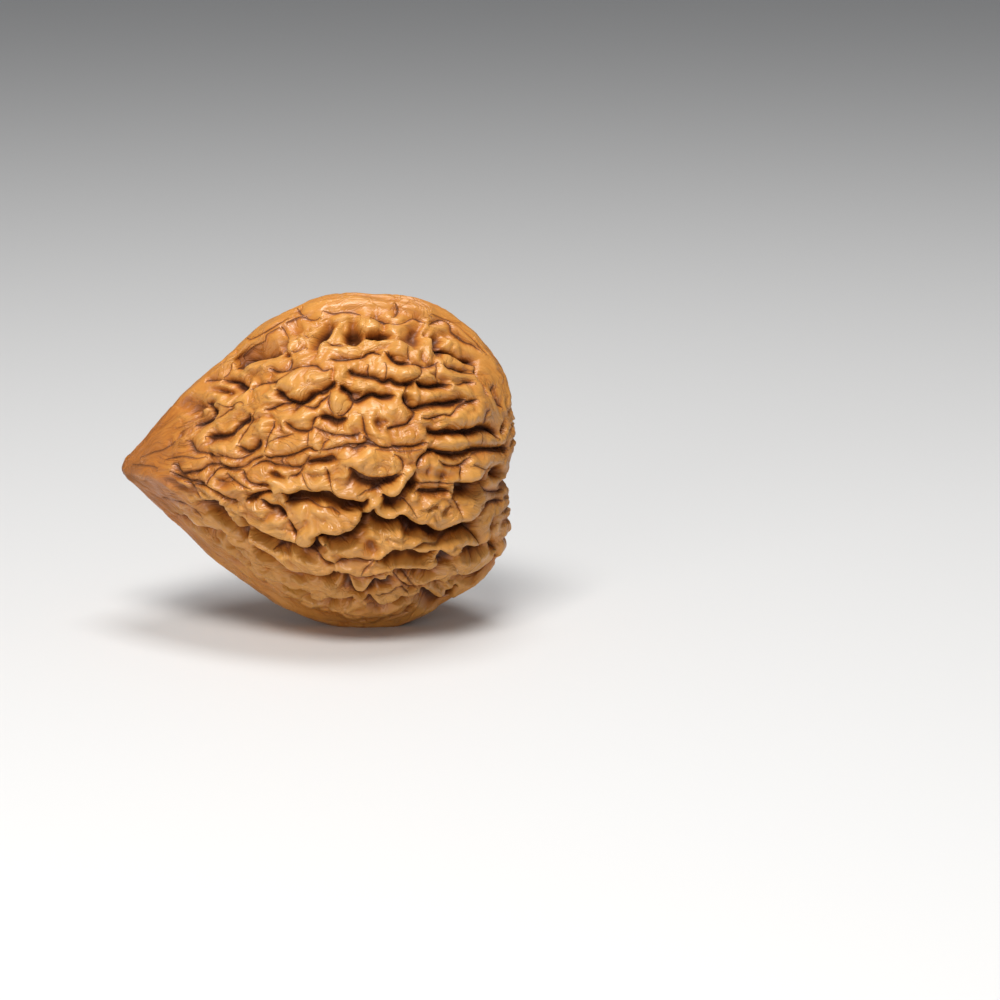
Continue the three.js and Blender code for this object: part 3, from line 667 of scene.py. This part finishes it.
def sculptNut():
    mesh, points = nutPoints()
    setPoints(mesh, points)
    normals = meshNormals(mesh)
    corners = np.empty(len(mesh.loops), int)
    mesh.loops.foreach_get("vertex_index", corners)
    corners = corners.reshape(-1, 4)
    edges = np.empty(len(mesh.edges) * 2, int)
    mesh.edges.foreach_get("vertices", edges)
    edges = edges.reshape(-1, 2)
    relief = Relief(points, normals, corners)
    front = np.array([0, -1, 0])
    upWave, rightWave = sculpt["backWaves"]
    for side, turnOver in (("front", np.array([1, 1, 1])), ("back", np.array([1, -1, -1]))):
        facing = front * turnOver
        for name, strength, drawn in folds:
            flat = smoothLine(drawn)
            if side == "back":
                sway = np.stack([np.sin(flat[:, 1] * upWave), np.cos(flat[:, 0] * rightWave)], 1)
                flat = flat + sculpt["backShift"] * sway
            relief.fold(foldKinds[name], strength, onBlank(flat[:, 0], flat[:, 1]) * turnOver, facing)
        for hollow in hollows:
            index, depth = relief.spot((*hollow, sculpt["hollowPower"]), turnOver, facing)
            relief.sink(index, depth)
        for swell in swells:
            index, height = relief.spot((*swell, sculpt["swellPower"]), turnOver, facing)
            relief.rise[index] += height
    noise.seed_set(wrinkles["seed"])
    fine = Wrinkles(points)
    fromRim = outlineRadius(np.arctan2(points[:, 2], -points[:, 0])) - np.hypot(points[:, 0], points[:, 2])
    atStem = sculpt["stemShare"] * smoothStep(points[:, 0], *sculpt["stemShell"])
    onShell = np.maximum(smoothStep(np.abs(points[:, 1]), *sculpt["shellFoot"]), atStem)
    rimAlong = points[:, [0, 2]] / wrinkles["ringLength"]
    rimWay = np.column_stack([rimAlong, fromRim - np.abs(points[:, 1])])
    offTip = smoothStep(points[:, 0] + blank["tipReach"], *sculpt["smoothTip"])
    clear = smoothStep(relief.away, *sculpt["besideFold"])
    calm = 1 - sculpt["calm"] * smoothStep(points[:, 0], *sculpt["calmFrom"])
    creaseShare = atLeast(wrinkles["creaseAtFold"], clear)
    relief.sink(slice(None), fine.crease * onShell * offTip * creaseShare * calm)
    fineShare = atLeast(wrinkles["fineAtFold"], clear) * onShell * offTip
    fineShare = atLeast(wrinkles["fineOffShell"], fineShare)
    relief.rise += fine.tops * onShell * offTip * calm + fine.fine * fineShare * calm
    ringAlong = wrinkles["ringAlong"]
    rings = crests(rimWay * (ringAlong, ringAlong, 1 / wrinkles["ringWidth"]))
    rays = crests(flowPlace(points, wrinkles["rayLength"], wrinkles["rayWidth"]))
    relief.rise += wrinkles["rings"] * rings * (1 - onShell) + wrinkles["rays"] * rays * (1 - offTip)
    stemEnd = smoothStep(points[:, 0], *sculpt["stemFoldsFrom"])
    stemEnd = stemEnd * np.exp(-((points[:, 1] / sculpt["stemReach"]) ** 2))
    wave = sculpt["stemWave"] * (fine.flow - points)[:, 2]
    wavy = points[:, 2] + wave + sculpt["stemBend"] * np.abs(points[:, 1])
    for place, half, depth in stemFolds:
        relief.sink(slice(None), depth * stemEnd * np.exp(-(((wavy - place) / half) ** 2)))
    height = relief.rise - relief.depth()
    shaped = points + relief.push * height[:, None] + relief.lean
    shaped[:, 2] = np.maximum(shaped[:, 2], blank["footDepth"] - bellyRadius)
    low, high = shaped.min(0), shaped.max(0)
    shift = np.array([-(low[0] + high[0]) / 2, -(low[1] + high[1]) / 2, middle[2]])
    setPoints(mesh, (shaped + shift) * mm)
    # how far each point lies below its surroundings, plus the painted shadow under ledges
    hollow = smoothed(height, edges, sculpt["hollowRounds"]) - height + sculpt["shade"] * relief.shade
    keep(mesh, "hollow", "FLOAT", "POINT", hollow)
    keep(mesh, "crease", "FLOAT", "CORNER", np.clip(relief.creases, -sculpt["farAway"], sculpt["farAway"]))
    keep(mesh, "fromRim", "FLOAT", "POINT", fromRim)
    keep(mesh, "rimWay", "FLOAT_VECTOR", "POINT", rimWay)
    keep(mesh, "flow", "FLOAT_VECTOR", "POINT", flowPlace(fine.flow, 1, 1))
    mesh.shade_smooth()
    return mesh, shift


print("sculpting the shell")
mesh, shift = sculptNut()
nut = bpy.data.objects.new("walnut_shell", mesh)
bpy.context.scene.collection.objects.link(nut)


class Nodes:
    def __init__(self, material):
        self.tree = material.node_tree
        self.tree.nodes.clear()

    def add(self, kind, settings=None, **inputs):  # inputs by name, or by place as n0, n1
        node = self.tree.nodes.new(kind)
        for key, value in (settings or {}).items():
            if key == "ramp":
                while len(node.color_ramp.elements) < len(value):
                    node.color_ramp.elements.new(0.5)
                for element, (place, color) in zip(node.color_ramp.elements, value):
                    element.position, element.color = place, (*color, 1)
            else:
                setattr(node, key, value)
        for key, value in inputs.items():
            name = key.replace("_", " ")
            byPlace = name[0] == "n" and name[1:].isdigit()
            socket = node.inputs[int(name[1:]) if byPlace else name]
            if isinstance(value, Value):
                value = value.socket
            if isinstance(value, bpy.types.NodeSocket):
                self.tree.links.new(value, socket)
            else:
                socket.default_value = value
        return node

    def read(self, name):
        return Value(self, self.add("ShaderNodeAttribute", {"attribute_name": name}).outputs["Fac"])

    def blend(self, share, first, second):  # two colours
        node = self.add("ShaderNodeMix", {"data_type": "RGBA"}, n0=share, n6=first, n7=second)
        return node.outputs[2]


class Value:
    def __init__(self, nodes, socket):
        self.nodes, self.socket = nodes, socket

    def math(self, operation, first, second=0.0):
        node = self.nodes.add("ShaderNodeMath", {"operation": operation}, n0=first, n1=second)
        return Value(self.nodes, node.outputs[0])

    def __add__(self, other):
        return self.math("ADD", self, other)

    def __radd__(self, other):
        return self.math("ADD", other, self)

    def __sub__(self, other):
        return self.math("SUBTRACT", self, other)

    def __rsub__(self, other):
        return self.math("SUBTRACT", other, self)

    def __mul__(self, other):
        return self.math("MULTIPLY", self, other)

    def __rmul__(self, other):
        return self.math("MULTIPLY", other, self)

    def __abs__(self):
        return self.math("ABSOLUTE", self)

    def step(self, low, high):  # 0 below low, 1 above high, smooth between
        smooth = {"interpolation_type": "SMOOTHSTEP"}
        node = self.nodes.add("ShaderNodeMapRange", smooth, n0=self, n1=low, n2=high)
        return Value(self.nodes, node.outputs[0])


finish = {
    "tones": [  # from the crown of a pad to the bottom of a hollow; darker into hollows, partly the shell's own stain, partly painted shade
        (0.0, (0.605, 0.284, 0.064)), (0.3, (0.54, 0.22, 0.04)), (0.5, (0.445, 0.15, 0.022)),
        (0.7, (0.25, 0.075, 0.014)), (1.0, (0.07, 0.017, 0.005))],
    "toneLow": -0.6, "toneHigh": 0.95,   # height under the surroundings, mm
    # nearLine is painted shade along the creases, partly their own stain; underLedge is painted shadow under
    # a ledge
    "darker": {"nearLine": 0.25, "underLedge": 0.28, "hairs": -0.08, "veins": 0.22, "streaks": 0.8,
               "tipStreaks": 1.2, "crinkles": -0.12},  # told as extra height under the surroundings
    "redder": (0.44, 0.15, 0.026), "redPatches": 0.3, "redTip": 0.5,
    # the dark line on each crease: partly the crease's own stain, partly painted shade
    "creaseColor": (0.13, 0.043, 0.01), "creaseCover": 0.65,
    "bumps": {"line": 0.1, "veins": -0.06, "streaks": 0.05, "hairs": 0.04, "hairsAtLine": 1.2,
              "crinkles": 0.05, "rings": 0.06},
    "bumpDistance": 0.001, "bumpStrength": 0.9,
    "roughness": 0.3, "rougher": {"streaks": 0.16, "hollow": 0.22, "line": 0.3},
    "tipEnds": (-0.022, -0.01),  # the tip is redder, along X in metres
}


def shellMaterial():
    material = bpy.data.materials.new("waxed_shell")
    material.use_nodes = True
    nodes = Nodes(material)
    flow = nodes.add("ShaderNodeAttribute", {"attribute_name": "flow"}).outputs["Vector"]
    place = nodes.add("ShaderNodeTexCoord").outputs["Object"]

    def clouds(source, stretch, detail, roughness=0.5):
        vector = nodes.add("ShaderNodeMapping", Vector=source, Scale=stretch).outputs["Vector"]
        made = nodes.add("ShaderNodeTexNoise", Vector=vector, Scale=1.0, Detail=detail, Roughness=roughness)
        return Value(nodes, made.outputs["Fac"])

    def ridges(source, stretch, detail):  # sharp crests
        return 1 - abs(clouds(source, stretch, detail) - 0.5) * 5

    hollow = nodes.read("hollow")
    signed = nodes.read("crease")  # below a line it is negative
    crease = 0.88 * abs(signed) + 0.12 * signed  # lines reach a little further down than up
    fromRim = nodes.read("fromRim")
    across = nodes.add("ShaderNodeAttribute", {"attribute_name": "rimWay"}).outputs["Vector"]
    onRim = 1 - fromRim.step(2.0, 4.5)
    patches = clouds(place, (170, 170, 170), 3)
    streaks = clouds(flow, (0.35, 1.6, 1.6), 4, 0.6)
    hairs = ridges(flow, (0.16, 2.6, 2.6), 2)
    crinkles = ridges(flow, (0.55, 1.5, 1.5), 2)
    rings = ridges(across, (1.0, 1.0, 2.0), 2)
    warp = nodes.add("ShaderNodeTexNoise", Vector=flow, Scale=0.5, Detail=2.0).outputs["Color"]
    warped = nodes.add("ShaderNodeVectorMath", {"operation": "MULTIPLY_ADD"},
                       n0=warp, n1=(2.6, 2.6, 2.6), n2=flow)
    cells = nodes.add("ShaderNodeMapping", Vector=warped.outputs[0], Scale=(0.33, 1.1, 1.1)).outputs["Vector"]
    edge = nodes.add("ShaderNodeTexVoronoi", {"feature": "DISTANCE_TO_EDGE"}, Vector=cells, Scale=1.0)
    veins = 1 - Value(nodes, edge.outputs["Distance"]).step(0.01, 0.1)
    veins = veins * clouds(place, (260, 260, 260), 2).step(0.42, 0.6)
    line = 1 - crease.step(0.3, 1.4)
    # the band round each crease, darkened there as painted shade and the crease's own stain
    soft = 1 - crease.step(0.6, 4.0)
    # painted shadow on the lower side of each line, as under a ledge
    under = (0 - signed).step(-0.5, 0.5) * (1 - abs(signed).step(1, 9))
    low, high = finish["toneLow"], finish["toneHigh"]
    along = Value(nodes, nodes.add("ShaderNodeSeparateXYZ", Vector=place).outputs["X"])
    tip = 1 - along.step(*finish["tipEnds"])
    dark = finish["darker"]
    # sunk sets how dark the tone is: hollows, creases and ledges as painted shade, partly with the shell's
    # own stain, plus grain and streaks
    sunk = hollow + dark["nearLine"] * soft + dark["underLedge"] * under + dark["hairs"] * hairs
    sunk = sunk + dark["veins"] * veins + dark["streaks"] * (streaks * (1 + dark["tipStreaks"] * tip) - 0.5)
    sunk = sunk + dark["crinkles"] * crinkles - low
    tone = nodes.add("ShaderNodeValToRGB", {"ramp": finish["tones"]}, Fac=sunk * (1 / (high - low)))
    red = patches.step(0.4, 0.68) * finish["redPatches"] + finish["redTip"] * tip
    color = nodes.blend(red, tone.outputs["Color"], (*finish["redder"], 1))
    # dark line along each crease, partly stain, partly painted shade
    color = nodes.blend(line * finish["creaseCover"], color, (*finish["creaseColor"], 1))
    bumps, rough = finish["bumps"], finish["rougher"]
    relief = bumps["line"] * (1 - line) + bumps["veins"] * veins + bumps["streaks"] * streaks
    relief = relief + bumps["hairs"] * hairs * (1 + bumps["hairsAtLine"] * soft)
    relief = relief + bumps["crinkles"] * crinkles * (1 - onRim) + bumps["rings"] * rings * onRim
    bump = nodes.add("ShaderNodeBump", Height=relief, Distance=finish["bumpDistance"],
                     Strength=finish["bumpStrength"])
    roughness = finish["roughness"] + rough["streaks"] * (streaks - 0.5)
    roughness = roughness + rough["hollow"] * hollow.step(0, 1) + rough["line"] * line
    shader = nodes.add("ShaderNodeBsdfPrincipled", Base_Color=color, Roughness=roughness,
                       Normal=bump.outputs["Normal"])
    nodes.add("ShaderNodeOutputMaterial", Surface=shader.outputs["BSDF"])
    return material


print("shell material")
mesh.materials.append(shellMaterial())
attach(nut, "root")
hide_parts("walnut")

print("floor, lights and camera")
room = {"floorSize": 3.0, "floorColor": (0.7, 0.7, 0.7, 1), "roughness": 0.6,
        "skyColor": (0.8, 0.82, 0.85, 1), "sky": 0.2, "aim": (0, 0, 0.02)}
lamps = {  # metres and watts
    "key": {"place": (-0.06, -0.3, 0.46), "size": (0.24, 0.16), "power": 2.6, "color": (1, 0.98, 0.95)},
    "top": {"place": (0.05, 0.05, 0.55), "size": (0.3, 0.2), "power": 1.5, "color": (1, 1, 1)},
    "low": {"place": (-0.2, -0.4, 0.1), "size": (0.2, 0.12), "power": 0.45, "color": (1, 0.99, 0.97)},
}


def makeFloor():
    form = bmesh.new()
    bmesh.ops.create_grid(form, x_segments=1, y_segments=1, size=room["floorSize"])
    mesh = bpy.data.meshes.new("floor")
    form.to_mesh(mesh)
    form.free()
    floor = bpy.data.objects.new("floor", mesh)
    bpy.context.scene.collection.objects.link(floor)
    material = bpy.data.materials.new("pale_floor")
    material.use_nodes = True
    shader = material.node_tree.nodes["Principled BSDF"]
    shader.inputs["Base Color"].default_value = room["floorColor"]
    shader.inputs["Roughness"].default_value = room["roughness"]
    mesh.materials.append(material)


def makeLight(name, place, size, power, color):
    data = bpy.data.lights.new(name, "AREA")
    data.shape = "RECTANGLE"
    data.size, data.size_y = size
    data.energy = power
    data.color = color
    lamp = bpy.data.objects.new(name, data)
    lamp.location = place
    lamp.rotation_euler = (Vector(room["aim"]) - Vector(place)).to_track_quat("-Z", "Y").to_euler()
    bpy.context.scene.collection.objects.link(lamp)


makeFloor()
for name, lamp in lamps.items():
    makeLight(name, **lamp)
world = bpy.data.worlds.new("studio")
world.use_nodes = True
world.node_tree.nodes["Background"].inputs["Color"].default_value = room["skyColor"]
world.node_tree.nodes["Background"].inputs["Strength"].default_value = room["sky"]
bpy.context.scene.world = world

cameraData = bpy.data.cameras.new("camera")
cameraData.lens = eye["lens"]
cameraData.sensor_width = eye["sensor"]
camera = bpy.data.objects.new("camera", cameraData)
bpy.context.scene.collection.objects.link(camera)
bpy.context.scene.camera = camera
nutMiddle = Vector(shift * mm)
camera.location = nutMiddle + Vector(towardsEye) * eye["distance"] * mm
camera.rotation_euler = (math.pi / 2 - tilt, 0, 0)
widthInView = eye["distance"] * eye["sensor"] / eye["lens"]
cameraData.shift_x = eye["left"] / widthInView
cameraData.shift_y = eye["drop"] / widthInView
cameraData.clip_start = 0.01
bpy.context.scene.view_settings.view_transform = "Standard"
